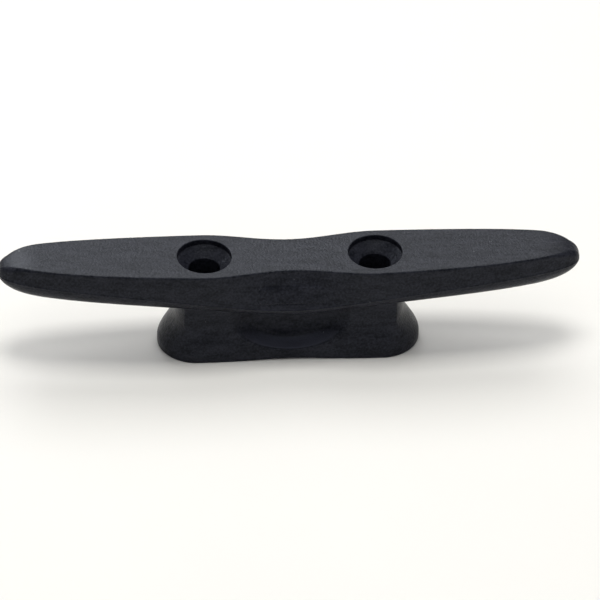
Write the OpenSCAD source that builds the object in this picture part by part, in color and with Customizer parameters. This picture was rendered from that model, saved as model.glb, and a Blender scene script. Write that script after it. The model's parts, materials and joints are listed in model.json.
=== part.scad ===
// Two-horn mooring cleat: a single moulding in black glass-filled nylon.
// The horns lie along X, the deck is the plane z = 0, and the origin is the middle of the foot.

/* [Horn bar] */
// Length over both horn tips
overall_length = 203; // [165:1:245]
// Height of the bar's top face above the deck, at the middle
top_height = 36.6; // [34:0.1:45]
// How far the top face climbs from the middle to each tip
tip_rise = 2.4; // [0:0.1:4]
// Width of the bar over the legs
bar_width = 26.8; // [23.2:0.2:32.4]
// How much narrower each side of the bar is at the top edge than at its parting line
side_draft = 0.5; // [0:0.1:1]
// How much further each side of the top face draws in at the waist
waist_depth = 3.7; // [1:0.1:4.4]
// How far the waist runs past each screw hole's centre
waist_reach = 1.8; // [0:0.1:5]
// Height of the bar's side wall at the middle
wall_middle = 14.5; // [12:0.1:17.4]
// Height of the bar's side wall near the tips
wall_tip = 6.6; // [6.4:0.1:9]
// Depth of the rounded underside at the middle
belly_middle = 3.2; // [1:0.1:4]
// Depth of the rounded underside near the tips
belly_tip = 8; // [4:0.1:9]
// Length of the rounded nose at each tip
nose_length = 15; // [8:0.5:18]
// Depth of the nose point below the top face
nose_depth = 6.2; // [4:0.1:6.3]
// Radius of the long top edges
top_edge_radius = 0.8; // [0.4:0.1:2]
// Radius that the top edges open out to as they fade into each nose
tip_edge_radius = 3.5; // [1:0.5:6]

/* [Screw holes] */
// Distance between the two screw holes
hole_spacing = 59.6; // [49:0.1:72]
// Diameter of each screw hole
hole_diameter = 11; // [6:0.1:13.2]
// Diameter of the recess for the screw's head
head_recess_diameter = 18.8; // [15.6:0.1:20]
// Straight part of the head's recess, above the cone
head_recess_depth = 2; // [0.5:0.1:3]
// Full angle of the countersink's cone
countersink_angle = 100; // [80:1:120]

/* [Legs and foot] */
// How far each leg reaches past its screw hole's centre
leg_reach = 10.5; // [9.9:0.1:12]
// Radius of each leg's gently rounded end
leg_end_radius = 20; // [17:0.5:30]
// Width of the legs, front to back
leg_width = 22.4; // [18.6:0.2:23.6]
// Radius of the upright corner between a leg's face and its end
leg_corner_radius = 1; // [0.8:0.1:3]
// How far the foot reaches past each screw hole's centre
foot_reach = 16.4; // [15:0.1:20]
// Width of the foot on the deck
foot_width = 27.4; // [24:0.2:33]
// Height of the foot's upright rim
rim_height = 2.4; // [1.5:0.1:4]
// Height at which the flare from leg to foot starts
flare_height = 14.5; // [11:0.5:17]
// How much narrower each side of the foot is at the middle
foot_waist = 0.8; // [0:0.1:2]
// Height of the relief under the middle of the foot
foot_relief = 0.7; // [0.2:0.1:1.5]

/* [Side scoops] */
// Thickness of the web left between the front and back scoops
web_thickness = 13.6; // [10:0.2:16.4]
// Distance from a screw hole's centre to where the scoops start
scoop_to_hole = 7.2; // [6:0.1:9]
// Width over which a scoop's sides run in to the web
scoop_run = 8; // [5:0.5:10]
// Height of a scoop's lower lip above the deck, at the middle
scoop_lip_height = 4.8; // [3:0.1:6.5]

/* [Core pockets] */
// Wall left round the core pockets under the foot
core_wall = 3; // [2.5:0.1:4]
// Thickness of the ribs between the core pockets
core_rib = 2; // [1.5:0.1:3]
// Depth of the core pockets
core_depth = 20; // [10:0.5:22]
// Number of core pockets
core_count = 3; // [1:1:4]

/* [Hidden] */
nylon_black = [0.10, 0.10, 0.11];
$fn = 96;
half_length = overall_length / 2;
hole_x = hole_spacing / 2;
half_waist = hole_x + waist_reach;
// Overshoot of every cut past the face it opens
through = 1;

// The bar's cross-sections: steps from the middle to a tip, closer together near the tip
bar_steps = 34;
step_crowding = 1.5;
edge_steps = 4;
belly_steps = 5;
// How gently the side wall's height leaves the middle, how it falls, and where the belly is full
swell_length = 14;
swell_fall = 1.86;
belly_reach = 0.8;
// The plan outline is a blunt ellipse, and so is each nose, above and below its point
plan_along = 2.35;
plan_across = 2.78;
nose_top_roundness = 2.4;
nose_under_roundness = 1.9;

// The legs' level outlines: layers from the deck up into the bar, closer together at the deck
leg_layers = 16;
layer_crowding = 1.25;
leg_top = top_height - wall_middle + 3.5;
end_steps = 7;
corner_steps = 3;
side_steps = 9;
foot_end_radius = foot_width / 2;
foot_corner_radius = foot_width / 2 - 1;

// The scoops' outlines: upright half ellipses from the web out past the leg's face
scoop_layers = 10;
scoop_steps = 28;
scoop_half = hole_x - scoop_to_hole;
scoop_rise = 15;
scoop_floor_radius = 2.4;
scoop_start_slope = 0.35;
// Share of the run by which a scoop's sides start outside the leg's face
scoop_overrun = 0.1;
scoop_squareness = 3;

function smooth(t) = let (c = min(1, max(0, t))) c * c * (3 - 2 * c);
function blend(a, b, t) = a + (b - a) * t;
function bump(x, half) = abs(x) < half ? (1 + cos(180 * x / half)) / 2 : 0;
function blunt(s, power_in, power_out) = pow(max(0, 1 - pow(s, power_in)), 1 / power_out);

// ---- Horn bar: cross-sections along X, each drawn from its top centre line to its bottom one ----
function reach(x) = (norm([x, swell_length]) - swell_length) / (norm([half_length, swell_length]) - swell_length);
function half_width(x) = bar_width / 2 * blunt(abs(x) / half_length, plan_along, plan_across);
function top_half(x) = half_width(x) - waist_depth * bump(x, half_waist) - min(side_draft, half_width(x) / 10);
function top_z(x) = top_height + tip_rise * pow(x / half_length, 2);
function wall(x) = blend(wall_tip, wall_middle, pow(1 - reach(x), swell_fall));
function belly(x) = blend(belly_middle, belly_tip, smooth(reach(x) / belly_reach));
function past_nose(x) = max(0, abs(x) - half_length + nose_length) / nose_length;
function nose_z(x) = top_z(x) - nose_depth;
function under_nose(x) = blunt(past_nose(x), nose_under_roundness, nose_under_roundness);
function upper_z(x) = nose_z(x) + nose_depth * blunt(past_nose(x), nose_top_roundness, nose_top_roundness);
function parting_z(x) = nose_z(x) - (wall(x) - nose_depth) * under_nose(x);
function belly_z(x) = parting_z(x) - belly(x) * under_nose(x);
function edge_radius(x) = blend(top_edge_radius, tip_edge_radius, pow(past_nose(x), 2));

function half_section(x) =
    let (w = half_width(x), t = top_half(x), zt = upper_z(x), zp = parting_z(x), zb = belly_z(x),
         e = min(edge_radius(x), t / 2, (zt - zp) / 2), r = min(belly(x), 0.95 * w))
    concat(
        [for (i = [0:edge_steps]) let (a = 90 - 90 * i / edge_steps) [t - e + e * cos(a), zt - e + e * sin(a)]],
        [for (i = [0:belly_steps]) let (a = 90 * i / belly_steps) [w - r + r * cos(a), zp - (zp - zb) * sin(a)]]
    );
function bar_ring(x) = let (h = half_section(x), n = len(h)) concat(
    [[x, 0, upper_z(x)]], [for (p = h) [x, p[0], p[1]]],
    [[x, 0, belly_z(x)]], [for (i = [n - 1:-1:0]) [x, -h[i][0], h[i][1]]]);
function bar_station(i) = sign(i) * half_length * (1 - pow(1 - abs(i) / bar_steps, step_crowding));

// ---- Legs and foot: level outlines, each drawn from the end round to the middle of a side ----
function flare(z) = 1 - smooth((z - rim_height) / (flare_height - rim_height));
function end_radius(z) = blend(leg_end_radius, foot_end_radius, flare(z));
function end_x(z) = hole_x + blend(leg_reach, foot_reach, flare(z)) - end_radius(z);
function face_y(z) = blend(leg_width, foot_width, flare(z)) / 2;
function corner_radius(z) = blend(leg_corner_radius, foot_corner_radius, flare(z));
function corner_x(z) = let (r = corner_radius(z))
    end_x(z) + sqrt(max(0, pow(end_radius(z) - r, 2) - pow(face_y(z) - r, 2)));
function side_y(x, z) = face_y(z) - foot_waist * flare(z) * bump(x, hole_x);
function quarter_outline(z) =
    let (r = corner_radius(z), cx = corner_x(z), turn = acos((cx - end_x(z)) / (end_radius(z) - r)))
    concat(
        [for (i = [0:end_steps]) let (a = turn * i / end_steps)
            [end_x(z) + end_radius(z) * cos(a), end_radius(z) * sin(a)]],
        [for (i = [1:corner_steps]) let (a = blend(turn, 90, i / corner_steps))
            [cx + r * cos(a), face_y(z) - r + r * sin(a)]],
        [for (i = [1:side_steps]) let (x = cx * (1 - i / side_steps)) [x, side_y(x, z)]]
    );
function leg_ring(z) = let (q = quarter_outline(z), n = len(q)) concat(
    [for (i = [0:n - 1]) [q[i][0], q[i][1], z]],
    [for (i = [n - 2:-1:0]) [-q[i][0], q[i][1], z]],
    [for (i = [1:n - 1]) [-q[i][0], -q[i][1], z]],
    [for (i = [n - 2:-1:1]) [q[i][0], -q[i][1], z]]);

// ---- Scoops: upright outlines, from t = 1 at the web to t = 0 where they leave the leg's face ----
function dish(t) = scoop_start_slope * t * (1 - t) * (1 - t) + t * t * (3 - 2 * t);
function scoop_point(x, z, depth) = [x, blend(side_y(x, z), web_thickness / 2, depth), z];
function scoop_ring(t) =
    let (depth = dish(t), half = scoop_half - scoop_run * t,
         floor_z = scoop_floor_radius * (1 - blunt(max(0, depth), scoop_squareness, scoop_squareness)),
         low = scoop_lip_height + floor_z, high = scoop_lip_height + scoop_rise)
    concat(
        [for (i = [0:scoop_steps]) let (a = 180 * i / scoop_steps)
            scoop_point(half * cos(a), high - (high - low) * sin(a), depth)],
        [for (side = [-1, 1]) scoop_point(side * half, leg_top + through, depth)]);

// Skin between two rings of n points; the diagonals mirror from one share of the ring to the next
function band(a, b, n, shares, first) = [for (i = [0:n - 1]) let (j = (i + 1) % n)
    each (floor(shares * i / n) + first) % 2 == 0
        ? [[a + i, b + i, b + j], [a + i, b + j, a + j]]
        : [[a + i, b + i, a + j], [b + i, b + j, a + j]]];

module bar() {
    rings = [for (i = [1 - bar_steps:bar_steps - 1]) bar_ring(bar_station(i))];
    n = len(rings[0]);
    last = len(rings) * n;
    skins = [for (k = [0:len(rings) - 2])
        each band((k + 1) * n, k * n, n, 2, k < bar_steps - 1 ? 0 : 1)];
    back_fan = [for (i = [0:n - 1]) [last, (i + 1) % n, i]];
    front_fan = [for (i = [0:n - 1]) [last + 1, last - n + i, last - n + (i + 1) % n]];
    tips = [for (side = [-1, 1]) [side * half_length, 0, nose_z(half_length)]];
    polyhedron(concat([for (r = rings) each r], tips), concat(skins, back_fan, front_fan));
}

// A closed skin over a stack of flat rings
module stack(rings, shares) {
    n = len(rings[0]);
    top = (len(rings) - 1) * n;
    skins = [for (k = [0:len(rings) - 2]) each band(k * n, (k + 1) * n, n, shares, 0)];
    caps = [[for (i = [0:n - 1]) i], [for (i = [n - 1:-1:0]) top + i]];
    polyhedron([for (r = rings) each r], concat(skins, caps));
}

module legs() {
    stack([for (i = [0:leg_layers]) leg_ring(leg_top * pow(i / leg_layers, layer_crowding))], 4);
}

module scoop() {
    inside = [for (i = [scoop_layers:-1:0]) scoop_ring(blend(-scoop_overrun, 1, i / scoop_layers))];
    outside = [for (p = inside[scoop_layers]) [p[0], foot_width / 2 + through, p[2]]];
    stack(concat(inside, [outside]), 2);
}

module screw_hole() {
    rim = top_z(hole_x);
    cone = (head_recess_diameter - hole_diameter) / 2 / tan(countersink_angle / 2);
    translate([0, 0, -through]) cylinder(d = hole_diameter, h = rim + 2 * through);
    translate([0, 0, rim - head_recess_depth - cone])
        cylinder(d1 = hole_diameter, d2 = head_recess_diameter, h = cone);
    translate([0, 0, rim - head_recess_depth])
        cylinder(d = head_recess_diameter, h = head_recess_depth + through);
}

module core_pockets() {
    span = hole_spacing - hole_diameter - 6 * core_wall;
    cell = (span - (core_count - 1) * core_rib) / core_count;
    for (i = [0:core_count - 1])
        translate([(i - (core_count - 1) / 2) * (cell + core_rib), 0, (core_depth - through) / 2])
            cube([cell, web_thickness - 2 * core_wall, core_depth + through], center = true);
}

module relief() {
    half_span = hole_x - hole_diameter;
    radius = (pow(half_span, 2) + pow(foot_relief, 2)) / (2 * foot_relief);
    translate([0, 0, foot_relief - radius]) rotate([90, 0, 0])
        cylinder(r = radius, h = foot_width + 2 * through, center = true, $fn = 720);
}

module cleat_body() {
    color(nylon_black) difference() {
        union() {
            bar();
            difference() {
                legs();
                for (face = [0, 1]) mirror([0, face, 0]) scoop();
            }
        }
        for (side = [-1, 1]) translate([side * hole_x, 0, 0]) screw_hole();
        core_pockets();
        relief();
    }
}

cleat_body();
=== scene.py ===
"""The looks of a two-horn mooring cleat: one moulding in black nylon, bored for two deck screws."""

import json
import math

import bmesh
import bpy
import numpy as np
from mathutils import Matrix, Vector


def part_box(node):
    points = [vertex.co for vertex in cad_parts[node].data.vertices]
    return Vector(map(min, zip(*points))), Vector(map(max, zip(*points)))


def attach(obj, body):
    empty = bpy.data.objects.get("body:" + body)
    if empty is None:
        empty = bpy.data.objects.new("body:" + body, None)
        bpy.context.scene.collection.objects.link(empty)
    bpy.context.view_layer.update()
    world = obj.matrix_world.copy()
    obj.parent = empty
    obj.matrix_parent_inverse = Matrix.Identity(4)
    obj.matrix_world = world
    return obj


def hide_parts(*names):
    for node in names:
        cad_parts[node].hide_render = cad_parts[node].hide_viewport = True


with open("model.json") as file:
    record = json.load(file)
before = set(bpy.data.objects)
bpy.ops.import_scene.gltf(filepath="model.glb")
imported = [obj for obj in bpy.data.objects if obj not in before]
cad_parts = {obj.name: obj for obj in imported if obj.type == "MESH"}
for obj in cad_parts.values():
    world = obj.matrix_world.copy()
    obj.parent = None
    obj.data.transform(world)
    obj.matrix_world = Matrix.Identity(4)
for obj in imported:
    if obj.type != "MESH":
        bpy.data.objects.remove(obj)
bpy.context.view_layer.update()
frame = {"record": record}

# ---- Horn bar ----------------------------------------------------------------------------------
# The bar is a long blunt oval in plan, with a flat top face and plain sides that lean out to the
# mould's parting line. Below that line a rounded belly deepens from the neck out to the two noses.
# Shapes are worked out in millimetres; a mesh takes them in metres.
mm = 0.001
_, tip_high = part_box("cleat_body")
half_length = tip_high.x / mm
screws = next(m for m in frame["record"]["mounts"] if m["name"] == "deck_screws")["dims"]
hole_x = screws["spacing_x_mm"] / 2
bar_width = 26.8
top_height = 36.6
tip_rise = 2.4
side_draft = 0.5
waist_depth = 3.7
half_waist = hole_x + 1.8
wall_middle = 14.5
wall_tip = 6.6
belly_middle = 3.2
belly_tip = 8.0
belly_squareness = 1.85
nose_length = 15.0
nose_depth = 6.2
top_edge_radius = 0.8
tip_edge_radius = 3.5
joint_line_height = 0.4
joint_line_proud = 0.1
bar_stations = 130
station_crowding = 1.8
plan_along = 2.35
plan_across = 2.78
height_swell = 14.0
wall_fall = 1.86
belly_reach = 0.8
nose_top_roundness = 2.4
nose_under_roundness = 1.9


def smooth(t):
    """An even S-curve from 0 to 1."""
    t = np.clip(t, 0, 1)
    return t * t * (3 - 2 * t)


def hump(x, half):
    """1 at the middle, falling evenly to 0 at a distance of half."""
    return np.where(np.abs(x) < half, (1 + np.cos(np.pi * x / half)) / 2, 0.0)


def blunt(s, along, across):
    """A blunt ellipse's half width, at the share s of its length."""
    return np.maximum(0, 1 - s**along) ** (1 / across)


def top_z(x):
    return top_height + tip_rise * (x / half_length) ** 2


def bar_sizes(x):
    """Half width at the parting line and at the top, then the top, parting line and belly heights, at x."""
    full_reach = math.hypot(half_length, height_swell) - height_swell
    reach = (np.hypot(x, height_swell) - height_swell) / full_reach
    half_width = bar_width / 2 * blunt(np.abs(x) / half_length, plan_along, plan_across)
    half_top = half_width - waist_depth * hump(x, half_waist) - np.minimum(side_draft, half_width / 10)
    wall = wall_tip + (wall_middle - wall_tip) * (1 - reach) ** wall_fall
    belly = belly_middle + (belly_tip - belly_middle) * smooth(reach / belly_reach)
    past_nose = np.maximum(0, np.abs(x) - half_length + nose_length) / nose_length
    over = blunt(past_nose, nose_top_roundness, nose_top_roundness)
    under = blunt(past_nose, nose_under_roundness, nose_under_roundness)
    nose_z = top_z(x) - nose_depth
    upper = nose_z + nose_depth * over
    parting = nose_z - (wall - nose_depth) * under
    return half_width, half_top, upper, parting, parting - belly * under, belly


def half_section(x):
    """One side of the bar's cross-sections at the places x, from the top's centre line to the belly's."""
    half_width, half_top, upper, parting, bottom, belly = (v[:, None] for v in bar_sizes(x))
    fading = np.clip((np.abs(x) - half_length + nose_length) / nose_length, 0, 1)[:, None] ** 2
    edge = top_edge_radius + (tip_edge_radius - top_edge_radius) * fading
    edge = np.minimum(np.minimum(edge, half_top / 2), (upper - parting) / 2)
    inward = np.minimum(belly, 0.95 * half_width)
    flat = np.linspace(0, 1, 11)[None, :-1]
    turn = np.radians(np.linspace(90, 0, 10))[None]
    down = np.concatenate([np.linspace(0, 0.95, 13)[1:], [0.965, 0.98, 0.99, 1.0]])[None]
    curl = np.radians(np.concatenate([[1, 3, 6, 10], np.linspace(15, 90, 14)]))[None]
    back = np.linspace(1, 0, 7)[None, 1:]
    power = 2 / belly_squareness
    y = [
        (half_top - edge) * flat,
        half_top - edge + edge * np.cos(turn),
        half_top + (half_width - half_top) * down,
        half_width - inward + inward * np.abs(np.cos(curl)) ** power,
        (half_width - inward) * back,
    ]
    z = [
        upper + 0 * flat,
        upper - edge + edge * np.sin(turn),
        upper - edge + (parting - upper + edge) * down,
        parting - (parting - bottom) * np.sin(curl) ** power,
        bottom + 0 * back,
    ]
    y, z = np.concatenate(y, 1), np.concatenate(z, 1)
    bead = joint_line_proud * np.minimum(1, half_width / 4) * hump(z - parting, joint_line_height)
    return y + bead, z


def skin(name, rings, tips=None):
    """A closed mesh over a row of rings, ended by flat faces or by fans that meet at two tips."""
    count, around = rings.shape[:2]
    faces = []
    for k in range(count - 1):
        for i in range(around):
            j = (i + 1) % around
            faces.append((k * around + i, (k + 1) * around + i, (k + 1) * around + j, k * around + j))
    points = rings.reshape(-1, 3)
    last = (count - 1) * around
    if tips is None:
        faces.append(tuple(range(around)))
        faces.append(tuple(range(last + around - 1, last - 1, -1)))
    else:
        points = np.concatenate([points, tips])
        for i in range(around):
            j = (i + 1) % around
            faces.append((count * around, i, j))
            faces.append((count * around + 1, last + j, last + i))
    mesh = bpy.data.meshes.new(name)
    mesh.from_pydata((points * mm).tolist(), [], faces)
    shell = bmesh.new()
    shell.from_mesh(mesh)
    bmesh.ops.remove_doubles(shell, verts=shell.verts, dist=1e-8)
    bmesh.ops.recalc_face_normals(shell, faces=shell.faces)
    shell.to_mesh(mesh)
    shell.free()
    made = bpy.data.objects.new(name, mesh)
    bpy.context.scene.collection.objects.link(made)
    return made


share = np.linspace(-1, 1, 2 * bar_stations + 1)[1:-1]
stations = np.sign(share) * half_length * (1 - (1 - np.abs(share)) ** station_crowding)
side_y, side_z = half_section(stations)
ring_y = np.concatenate([side_y, -side_y[:, -2:0:-1]], 1)
ring_z = np.concatenate([side_z, side_z[:, -2:0:-1]], 1)
ring_x = np.repeat(stations[:, None], ring_y.shape[1], 1)
nose_point = top_height + tip_rise - nose_depth
bar = skin(
    "bar",
    np.stack([ring_x, ring_y, ring_z], -1),
    np.array([[-half_length, 0, nose_point], [half_length, 0, nose_point]]),
)

# ---- Legs and foot -----------------------------------------------------------------------------
# The neck under the bar is one block with gently rounded ends and crisp corners, which flares into
# a wider foot with an upright rim. It is moulded with the bar, and a small fillet joins the two.
leg_reach = 10.5
leg_end_radius = 20.0
half_leg = 11.2
leg_corner = 1.0
foot_reach = 16.4
half_foot = tip_high.y / mm
foot_corner = half_foot - 1
rim_height = 2.4
flare_height = 14.5
foot_waist = 0.8
foot_edge_radius = 0.5
neck_fillet = 0.6
inside_bar = 24.6


def flare(z):
    return 1 - smooth((z - rim_height) / (flare_height - rim_height))


def side_face(x, z):
    """How far the neck's long sides stand from the middle plane."""
    f = flare(z)
    return half_leg + (half_foot - half_leg) * f - foot_waist * f * hump(x, hole_x)


def neck_outline(z, end_share, corner_share, side_share):
    """A quarter of the neck's level outline at the heights z, from its end round to the middle of a side."""
    f = flare(z)
    radius = leg_end_radius + (half_foot - leg_end_radius) * f
    centre = hole_x + leg_reach + (foot_reach - leg_reach) * f - radius
    face = half_leg + (half_foot - half_leg) * f
    corner = leg_corner + (foot_corner - leg_corner) * f
    corner_x = centre + np.sqrt(np.maximum(0, (radius - corner) ** 2 - (face - corner) ** 2))
    turn = np.arccos(np.clip((corner_x - centre) / (radius - corner), -1, 1))
    ends = slice(0, len(end_share))
    corners = slice(len(end_share), len(end_share) + len(corner_share))
    sides = slice(len(end_share) + len(corner_share), None)
    x, y = np.empty_like(z), np.empty_like(z)
    across, along = np.zeros_like(z), np.ones_like(z)
    a = turn[:, ends] * end_share
    x[:, ends] = centre[:, ends] + radius[:, ends] * np.cos(a)
    y[:, ends] = radius[:, ends] * np.sin(a)
    across[:, ends], along[:, ends] = np.cos(a), np.sin(a)
    a = turn[:, corners] + (np.pi / 2 - turn[:, corners]) * corner_share
    x[:, corners] = corner_x[:, corners] + corner[:, corners] * np.cos(a)
    y[:, corners] = face[:, corners] - corner[:, corners] + corner[:, corners] * np.sin(a)
    across[:, corners], along[:, corners] = np.cos(a), np.sin(a)
    x[:, sides] = corner_x[:, sides] * (1 - side_share)
    y[:, sides] = side_face(x[:, sides], z[:, sides])
    return x, y, across, along


def belly_above(x, y):
    """Height of the bar's underside over a point of the neck."""
    half_width, _, _, parting, bottom, belly = bar_sizes(x)
    over = np.clip((np.abs(y) - half_width + belly) / belly, 0, 0.999)
    power = 2 / belly_squareness
    curl = np.arccos(over ** (1 / power))
    return parting - (parting - bottom) * np.sin(curl) ** power


def quarter_turn(t):
    """How far a rounding of radius 1 stands off its wall, at the share t of its height."""
    return 1 - np.sqrt(np.clip(1 - (1 - t) ** 2, 0, 1))


end_share = np.linspace(0, 1, 26)
corner_share = np.linspace(0, 1, 9)[1:]
side_share = np.linspace(0, 1, 44)[1:]
columns = len(end_share) + len(corner_share) + len(side_share)
x, y, across, along = neck_outline(np.full((1, columns), flare_height), end_share, corner_share, side_share)
ceiling = belly_above(x + neck_fillet * across, y + neck_fillet * along)
foot_rounding = foot_edge_radius * (1 - np.cos(np.radians(np.linspace(0, 90, 6))))
layers = [np.full((1, columns), h) for h in foot_rounding]
layers += [np.full((1, columns), h) for h in np.linspace(foot_edge_radius, rim_height, 4)[1:]]
layers += [np.full((1, columns), h) for h in np.linspace(rim_height, flare_height, 28)[1:]]
layers += [flare_height + (ceiling - neck_fillet - flare_height) * t for t in np.linspace(0, 1, 5)[1:]]
layers += [ceiling - neck_fillet * (1 - t) for t in np.sin(np.radians(np.linspace(0, 90, 9)[1:]))]
heights = np.concatenate(layers)
x, y, across, along = neck_outline(heights, end_share, corner_share, side_share)
fillet = neck_fillet * quarter_turn(np.clip((ceiling - heights) / neck_fillet, 0, 1))
rounding = foot_edge_radius * quarter_turn(np.clip(heights / foot_edge_radius, 0, 1))
x, y = x + across * (fillet - rounding), y + along * (fillet - rounding)
x, y = np.concatenate([x, x[-1:]]), np.concatenate([y, y[-1:]])
heights = np.concatenate([heights, np.full((1, columns), inside_bar)])
ring_x = np.concatenate([x, -x[:, -2::-1], -x[:, 1:], x[:, -2:0:-1]], 1)
ring_y = np.concatenate([y, y[:, -2::-1], -y[:, 1:], -y[:, -2:0:-1]], 1)
ring_z = np.concatenate([heights, heights[:, -2::-1], heights[:, 1:], heights[:, -2:0:-1]], 1)
neck = skin("neck", np.stack([ring_x, ring_y, ring_z], -1))

# ---- Side scoops -------------------------------------------------------------------------------
# Front and back of the neck are scooped out under the bar down to a thin upright web. The sides run
# in gently from the leg's face, and the floor ends in a rounded lip over the foot.
half_web = 6.8
scoop_to_hole = 7.2
scoop_half = hole_x - scoop_to_hole
scoop_run = 8.0
start_slope = 0.35
overrun = 0.1
lip_height = 4.8
scoop_rise = 15.0
scoop_floor_radius = 2.4
scoop_squareness = 3
lip_radius = 0.7
past_face = 1.5
scoop_angles = np.radians(np.linspace(0, 180, 97))[None]
lip_share = 0.17
lip_steps = np.linspace(0, lip_share, 11)
wall_steps = np.linspace(lip_share, 1, 27)[1:]
run_in = np.concatenate([[-overrun], lip_steps, wall_steps])[::-1, None]
dish = start_slope * run_in * (1 - run_in) ** 2 + run_in**2 * (3 - 2 * run_in)
floor_rise = scoop_floor_radius * (1 - blunt(np.maximum(dish, 0), scoop_squareness, scoop_squareness))
high = lip_height + scoop_rise
x = (scoop_half - scoop_run * run_in) * np.cos(scoop_angles)
z = high - (high - lip_height - floor_rise) * np.sin(scoop_angles)
face = side_face(x, z)
wall_y = face + (half_web - face) * dish
drop = lip_radius * quarter_turn(np.clip((face - wall_y) / lip_radius, 0.02, 1))
z = z - drop * np.sin(scoop_angles) ** 2
x, z = np.concatenate([x, x[-1:]]), np.concatenate([z, z[-1:]])
wall_y = np.concatenate([wall_y, np.full_like(wall_y[-1:], half_foot + past_face)])
x = np.concatenate([x, x[:, -1:], x[:, :1]], 1)
z = np.concatenate([z, np.full((len(z), 2), inside_bar + 1)], 1)
wall_y = np.concatenate([wall_y, wall_y[:, -1:], wall_y[:, :1]], 1)
scoops = [skin("scoop", np.stack([x, side * wall_y, z], -1)) for side in (1, -1)]

# ---- Screw holes -------------------------------------------------------------------------------
# Each hole is a plain bore with a countersink and a short straight recess for the screw's head.
# Core pins form it in the mould, so its rims are very slightly rounded.
bore_radius = screws["hole_r_mm"]
recess_radius = 9.4
recess_depth = 2.0
countersink_slope = math.radians(50)
cone_height = (recess_radius - bore_radius) / math.tan(countersink_slope)
rim_radius = 0.35
bore_rim_radius = 0.5
deck_rim_radius = 0.4
past_faces = 1.0
hole_sides = 144
rim = top_z(hole_x)


def hole_profile():
    """The hole's wall as (radius, depth below the rim), from under the foot up past the top face."""
    steps = np.radians(np.linspace(0, 80, 7))
    deck_rim = [
        (bore_radius + deck_rim_radius * (1 - math.sin(a)), rim - deck_rim_radius * (1 - math.cos(a)))
        for a in steps
    ]
    seat = recess_depth + cone_height
    pull = bore_rim_radius * math.tan(countersink_slope / 2)
    seat_rim = [
        (bore_radius + bore_rim_radius * (1 - math.cos(a)), seat + pull - bore_rim_radius * math.sin(a))
        for a in np.linspace(0, countersink_slope, 6)
    ]
    head_rim = [
        (recess_radius + rim_radius * (1 - math.cos(a)), rim_radius * (1 - math.sin(a)))
        for a in steps
    ]
    below = [(deck_rim[0][0], rim + past_faces)]
    above = [(head_rim[-1][0], -past_faces)]
    return below + deck_rim + seat_rim + [(recess_radius, recess_depth)] + head_rim + above


profile = np.array(hole_profile())
hole_turn = np.linspace(0, 2 * np.pi, hole_sides, endpoint=False)
for side in (-1, 1):
    x = side * hole_x + profile[:, :1] * np.cos(hole_turn)
    y = profile[:, :1] * np.sin(hole_turn)
    follow = np.clip((3 * recess_depth - profile[:, 1:]) / recess_depth, 0, 1)
    z = rim - profile[:, 1:] + follow * (top_z(x) - rim)
    scoops.append(skin("screw_hole", np.stack([x, y, z], -1)))

# ---- Core pockets and relief -------------------------------------------------------------------
# Three blind pockets under the foot keep the web's wall even in the mould, and the middle of the
# foot stands clear of the deck, so that the cleat bears on its two ends.
core_wall = 3.0
core_rib = 2.0
pocket_half = (2 * hole_x - 2 * bore_radius - 6 * core_wall - 2 * core_rib) / 6
pocket_pitch = 2 * pocket_half + core_rib
pocket_half_width = 3.8
pocket_depth = 20.0
pocket_corner = 0.9
pocket_draft = 0.25
pocket_roof_radius = 1.0
pocket_least_corner = 0.2
mouth_height = 0.3
mouth_flare = 0.45
mouth_neck_flare = 0.12
relief_half = hole_x - 2 * bore_radius
relief_height = 0.7
corner_turn = np.radians(np.linspace(0, 90, 7))
pocket_shoulder = pocket_depth - pocket_roof_radius


def corner_signs(quarter):
    """Which way a rectangle's corner lies from its middle, along and across."""
    middle = np.pi / 4 + quarter * np.pi / 2
    return math.copysign(1, math.cos(middle)), math.copysign(1, math.sin(middle))


# Each level is a height and how far the pocket has shrunk there from its size at the relief.
pocket_levels = [(-past_faces, -mouth_flare), (0.0, -mouth_flare), (mouth_height, -mouth_neck_flare)]
pocket_levels += [(relief_height, 0.0), (pocket_shoulder, pocket_draft)]
for a in corner_turn[1:]:
    pocket_levels.append((pocket_shoulder + math.sin(a), pocket_draft + pocket_roof_radius - math.cos(a)))
for place in (-1, 0, 1):
    rings = []
    for height, shrink in pocket_levels:
        corner = max(pocket_corner - shrink / 2, pocket_least_corner)
        ring = []
        for quarter in range(4):
            sign_x, sign_y = corner_signs(quarter)
            cx = place * pocket_pitch + sign_x * (pocket_half - shrink - corner)
            cy = sign_y * (pocket_half_width - shrink - corner)
            for a in corner_turn + quarter * np.pi / 2:
                ring.append((cx + corner * math.cos(a), cy + corner * math.sin(a), height))
        rings.append(ring)
    scoops.append(skin("core_pocket", np.array(rings)))
relief_radius = (relief_half**2 + relief_height**2) / (2 * relief_height)
x = np.linspace(-relief_half - 2, relief_half + 2, 61)
z = relief_height - relief_radius + np.sqrt(relief_radius**2 - x**2)
arch = np.stack([np.append(x, x[[-1, 0]]), 0 * np.append(x, [0, 0]), np.append(z, [-1, -1])], -1)
scoops.append(skin("relief", np.stack([arch + [0, side * (half_foot + 1), 0] for side in (-1, 1)])))

# ---- Label pad ---------------------------------------------------------------------------------
# A low blank pad stands on the front wall between the screw holes, where a maker would put a label.
# It is the same black nylon as the bar, and a shallow recess in the mould's wall forms it.
pad_half = 11.5
pad_half_height = 2.9
pad_corner = 1.6
pad_proud = 0.22
pad_height_up = 5.6
pad_top_inset = 0.35
pad_long_steps = 22
pad_short_steps = 6


def wall_face(x, z):
    """How far the bar's side wall stands from the middle plane."""
    half_width, half_top, upper, parting, _, _ = bar_sizes(x)
    return half_width + (half_top - half_width) * (z - parting) / (upper - top_edge_radius - parting)


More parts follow.
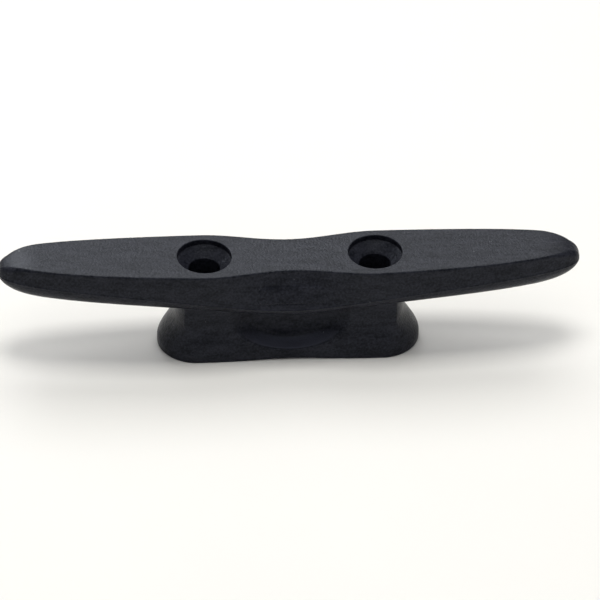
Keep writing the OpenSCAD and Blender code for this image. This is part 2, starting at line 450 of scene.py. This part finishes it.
outline = []
for quarter in range(4):
    for a in np.radians(np.linspace(0, 90, 10)) + quarter * np.pi / 2:
        outline.append((math.cos(a), math.sin(a), quarter))
dense = []
for (c0, s0, q0), (_, _, q1) in zip(outline, outline[1:] + outline[:1]):
    sx, sz = corner_signs(q0)
    dense.append((sx * (pad_half - pad_corner), sz * (pad_half_height - pad_corner), c0, s0))
    if q0 != q1:
        tx, tz = corner_signs(q1)
        steps = pad_long_steps if q0 % 2 == 0 else pad_short_steps
        for t in np.linspace(0, 1, steps)[1:-1]:
            along_x = (sx + (tx - sx) * t) * (pad_half - pad_corner)
            up_z = (sz + (tz - sz) * t) * (pad_half_height - pad_corner)
            dense.append((along_x, up_z, c0, s0))
dense = np.array(dense)
# How far in from the outline and how far out from the wall the pad's edge stands, from root to top.
pad_edge = [(-0.12, -1.6), (-0.12, -0.05), (0.0, 0.05), (0.08, 0.15), (0.2, 0.2), (pad_top_inset, pad_proud)]
rings = []
for inset, rise in pad_edge:
    px = dense[:, 0] + (pad_corner - inset) * dense[:, 2]
    pz = dense[:, 1] + (pad_corner - inset) * dense[:, 3]
    rings.append((px, pz, rise))
for t in (0.6, 0.3, 0.0):
    px = dense[:, 0] + (pad_corner - pad_top_inset) * dense[:, 2] * t
    pz = (dense[:, 1] + (pad_corner - pad_top_inset) * dense[:, 3]) * t
    rings.append((px, pz, pad_proud))
pad_rings = []
for px, pz, rise in rings:
    pad_z = bar_sizes(np.zeros(1))[3][0] + pad_height_up + pz
    pad_rings.append(np.stack([px, -wall_face(px, pad_z) - rise, pad_z], -1))
pad = skin("pad", np.array(pad_rings))

# ---- The whole moulding ------------------------------------------------------------------------
# Bar, neck and pad come out of the mould as one body of glass-filled nylon, coloured right through.
body = neck
body.name = body.data.name = "cleat_moulding"


def shape_with(target, tool, way):
    """Joins a tool's solid to the target, or cuts it out."""
    step = target.modifiers.new(tool.name, "BOOLEAN")
    step.object = tool
    step.operation = way
    step.solver = "EXACT"


for cutter in scoops[:2]:
    shape_with(body, cutter, "DIFFERENCE")
shape_with(body, bar, "UNION")
shape_with(body, pad, "UNION")
for cutter in scoops[2:]:
    shape_with(body, cutter, "DIFFERENCE")
depsgraph = bpy.context.evaluated_depsgraph_get()
final = bpy.data.meshes.new_from_object(body.evaluated_get(depsgraph))
body.modifiers.clear()
body.data = final
final.name = "cleat_moulding"
for tool in [bar, pad, *scoops]:
    bpy.data.objects.remove(tool)
weld_distance = 1e-7
crease_angle = math.radians(33)
shell = bmesh.new()
shell.from_mesh(final)
bmesh.ops.remove_doubles(shell, verts=shell.verts, dist=weld_distance)
bmesh.ops.triangulate(shell, faces=[f for f in shell.faces if len(f.verts) > 4])
shell.to_mesh(final)
shell.free()
final.shade_smooth()
final.set_sharp_from_angle(angle=crease_angle)

# Black nylon with pale flecks of filler, and painted light: a paler tint on the level floors low in the
# scoops.
nylon_dark = (0.002, 0.0025, 0.0055, 1)
nylon_pale = (0.020, 0.0210, 0.0290, 1)
fleck_colour = (0.13, 0.135, 0.15, 1)
# Painted light: the paler colour stands in for light that falls from above on the low level floors.
painted_light_colour = (0.050, 0.053, 0.072, 1)
sheen_tint = (0.88, 0.93, 1.0, 1)
painted_light_top = 0.022
painted_light_full = 0.012
nylon = bpy.data.materials.new("black_nylon")
nylon.use_nodes = True
tree = nylon.node_tree
tree.nodes.clear()


def node(tree, kind, **settings):
    """Adds a node; settings that aren't the node's own properties are its input values."""
    made = tree.nodes.new(kind)
    for name, value in settings.items():
        if hasattr(made, name):
            setattr(made, name, value)
        else:
            made.inputs[name.replace("_", " ")].default_value = value
    return made


place = node(tree, "ShaderNodeTexCoord")
flow = node(tree, "ShaderNodeMapping")
flow.inputs["Scale"].default_value = (0.3, 1, 1)
grain = node(tree, "ShaderNodeTexNoise", Scale=1250.0, Detail=2.0, Roughness=0.6)
mottle = node(tree, "ShaderNodeTexNoise", Scale=420.0, Detail=6.0, Roughness=0.65)
cloud = node(tree, "ShaderNodeTexNoise", Scale=45.0, Detail=3.0, Roughness=0.5)
tree.links.new(place.outputs["Object"], flow.inputs["Vector"])
tree.links.new(place.outputs["Object"], grain.inputs["Vector"])
tree.links.new(flow.outputs["Vector"], mottle.inputs["Vector"])
tree.links.new(flow.outputs["Vector"], cloud.inputs["Vector"])
tone = node(tree, "ShaderNodeMix", data_type="RGBA")
tone.inputs["A"].default_value = nylon_dark
tone.inputs["B"].default_value = nylon_pale
specks = node(tree, "ShaderNodeTexNoise", Scale=620.0, Detail=1.0)
fleck = node(tree, "ShaderNodeMapRange", From_Min=0.80, From_Max=0.84)
flecked = node(tree, "ShaderNodeMix", data_type="RGBA")
flecked.inputs["B"].default_value = fleck_colour
tree.links.new(place.outputs["Object"], specks.inputs["Vector"])
tree.links.new(specks.outputs["Fac"], fleck.inputs["Value"])
tree.links.new(fleck.outputs["Result"], flecked.inputs["Factor"])
tree.links.new(tone.outputs["Result"], flecked.inputs["A"])
# Painted light: faces that look up and lie low, the scoop floors, are mixed towards the paler colour.
facing = node(tree, "ShaderNodeNewGeometry")
facing_parts = node(tree, "ShaderNodeSeparateXYZ")
level_share = node(tree, "ShaderNodeMapRange", From_Min=0.6, From_Max=0.95)
place_parts = node(tree, "ShaderNodeSeparateXYZ")
low_share = node(tree, "ShaderNodeMapRange", From_Min=painted_light_top, From_Max=painted_light_full)
painted_light_share = node(tree, "ShaderNodeMath", operation="MULTIPLY")
painted_light_mix = node(tree, "ShaderNodeMix", data_type="RGBA")
painted_light_mix.inputs["B"].default_value = painted_light_colour
tree.links.new(facing.outputs["Normal"], facing_parts.inputs["Vector"])
tree.links.new(facing_parts.outputs["Z"], level_share.inputs["Value"])
tree.links.new(place.outputs["Object"], place_parts.inputs["Vector"])
tree.links.new(place_parts.outputs["Z"], low_share.inputs["Value"])
tree.links.new(level_share.outputs["Result"], painted_light_share.inputs[0])
tree.links.new(low_share.outputs["Result"], painted_light_share.inputs[1])
tree.links.new(painted_light_share.outputs[0], painted_light_mix.inputs["Factor"])
tree.links.new(flecked.outputs["Result"], painted_light_mix.inputs["A"])
rough = node(tree, "ShaderNodeMapRange", From_Min=0.3, From_Max=0.7, To_Min=0.30, To_Max=0.42)
tree.links.new(cloud.outputs["Fac"], rough.inputs["Value"])
heights_sum = node(tree, "ShaderNodeMath", operation="ADD")
tree.links.new(grain.outputs["Fac"], heights_sum.inputs[0])
tree.links.new(mottle.outputs["Fac"], heights_sum.inputs[1])
patches = node(tree, "ShaderNodeMapRange", From_Min=0.78, From_Max=1.22)
tree.links.new(heights_sum.outputs[0], patches.inputs["Value"])
tree.links.new(patches.outputs["Result"], tone.inputs["Factor"])
bumps = node(tree, "ShaderNodeBump", Strength=1.0, Distance=0.00014)
tree.links.new(heights_sum.outputs[0], bumps.inputs["Height"])
shader = node(tree, "ShaderNodeBsdfPrincipled")
shader.inputs["Specular IOR Level"].default_value = 0.15
shader.inputs["Specular Tint"].default_value = sheen_tint
tree.links.new(painted_light_mix.outputs["Result"], shader.inputs["Base Color"])
tree.links.new(rough.outputs["Result"], shader.inputs["Roughness"])
tree.links.new(bumps.outputs["Normal"], shader.inputs["Normal"])
output = node(tree, "ShaderNodeOutputMaterial")
tree.links.new(shader.outputs["BSDF"], output.inputs["Surface"])
final.materials.clear()
final.materials.append(nylon)
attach(body, "root")
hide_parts("cleat_body")

# ---- Table, light and camera -------------------------------------------------------------------
# The cleat stands on a plain pale table. Most of the light falls softly from above and behind, and a
# little from the front. One card adds only a sheen to the top face, as a bright wall behind would.
table = bpy.data.objects.new("table", bpy.data.meshes.new("table"))
table.data.from_pydata([(-6, -6, 0), (6, -6, 0), (6, 6, 0), (-6, 6, 0)], [], [(0, 1, 2, 3)])
bpy.context.scene.collection.objects.link(table)
pale = bpy.data.materials.new("pale_table")
pale.use_nodes = True
tree = pale.node_tree
shader = tree.nodes["Principled BSDF"]
shader.inputs["Roughness"].default_value = 0.6
place = node(tree, "ShaderNodeTexCoord")
cloud = node(tree, "ShaderNodeTexNoise", Scale=9.0, Detail=3.0)
tone = node(tree, "ShaderNodeMix", data_type="RGBA")
tone.inputs["A"].default_value = (0.80, 0.79, 0.76, 1)
tone.inputs["B"].default_value = (0.84, 0.83, 0.80, 1)
tree.links.new(place.outputs["Object"], cloud.inputs["Vector"])
tree.links.new(cloud.outputs["Fac"], tone.inputs["Factor"])
tree.links.new(tone.outputs["Result"], shader.inputs["Base Color"])
table.data.materials.append(pale)

world = bpy.data.worlds.new("room")
bpy.context.scene.world = world
world.use_nodes = True
world.node_tree.nodes["Background"].inputs["Color"].default_value = (0.93, 0.94, 0.96, 1)
world.node_tree.nodes["Background"].inputs["Strength"].default_value = 0.38


def panel(name, place, width, height, power, colour, sheen_only=False):
    """A soft light panel that faces the cleat; one for sheen only lights no dull surface."""
    light = bpy.data.lights.new(name, "AREA")
    light.shape = "RECTANGLE"
    light.size = width
    light.size_y = height
    light.energy = power
    light.color = colour
    made = bpy.data.objects.new(name, light)
    made.location = place
    made.rotation_euler = (-Vector(place)).to_track_quat("-Z", "Y").to_euler()
    made.visible_camera = False
    made.visible_diffuse = not sheen_only
    bpy.context.scene.collection.objects.link(made)
    return made


panel("ceiling_light", (0, 0.15, 1.5), 0.7, 0.5, 12, (1, 0.99, 0.96))
panel("front_light", (0, -0.5, 1.5), 1.4, 0.6, 2.5, (1, 0.99, 0.96))
panel("back_light", (0.1, 1.2, 1.5), 1.8, 1.0, 15, (1, 0.99, 0.97))
panel("sheen_card", (-0.85, 1.7, 1.5), 1.8, 1.0, 34, (0.92, 0.95, 1.0), sheen_only=True)

bpy.context.scene.view_settings.view_transform = "Standard"
view_aim = Vector((0.0046, 0.0076, 0.0102))
view_distance = 1.5874
view_height = math.radians(38.31)
view_turn = math.radians(-5.0)
view_roll = math.radians(1.48)
forward = Vector(
    (
        -math.sin(view_turn) * math.cos(view_height),
        math.cos(view_turn) * math.cos(view_height),
        -math.sin(view_height),
    )
)
level = Vector((math.cos(view_turn), math.sin(view_turn), 0))
upright = level.cross(forward)
right = math.cos(view_roll) * level + math.sin(view_roll) * upright
up = math.cos(view_roll) * upright - math.sin(view_roll) * level
lens = bpy.data.cameras.new("camera")
lens.lens = 270
lens.sensor_width = 36
lens.clip_end = 50
camera = bpy.data.objects.new("camera", lens)
stand = Matrix.Translation(view_aim - view_distance * forward)
turned = Matrix((right, up, -forward)).transposed().to_4x4()
camera.matrix_world = stand @ turned
bpy.context.scene.collection.objects.link(camera)
bpy.context.scene.camera = camera
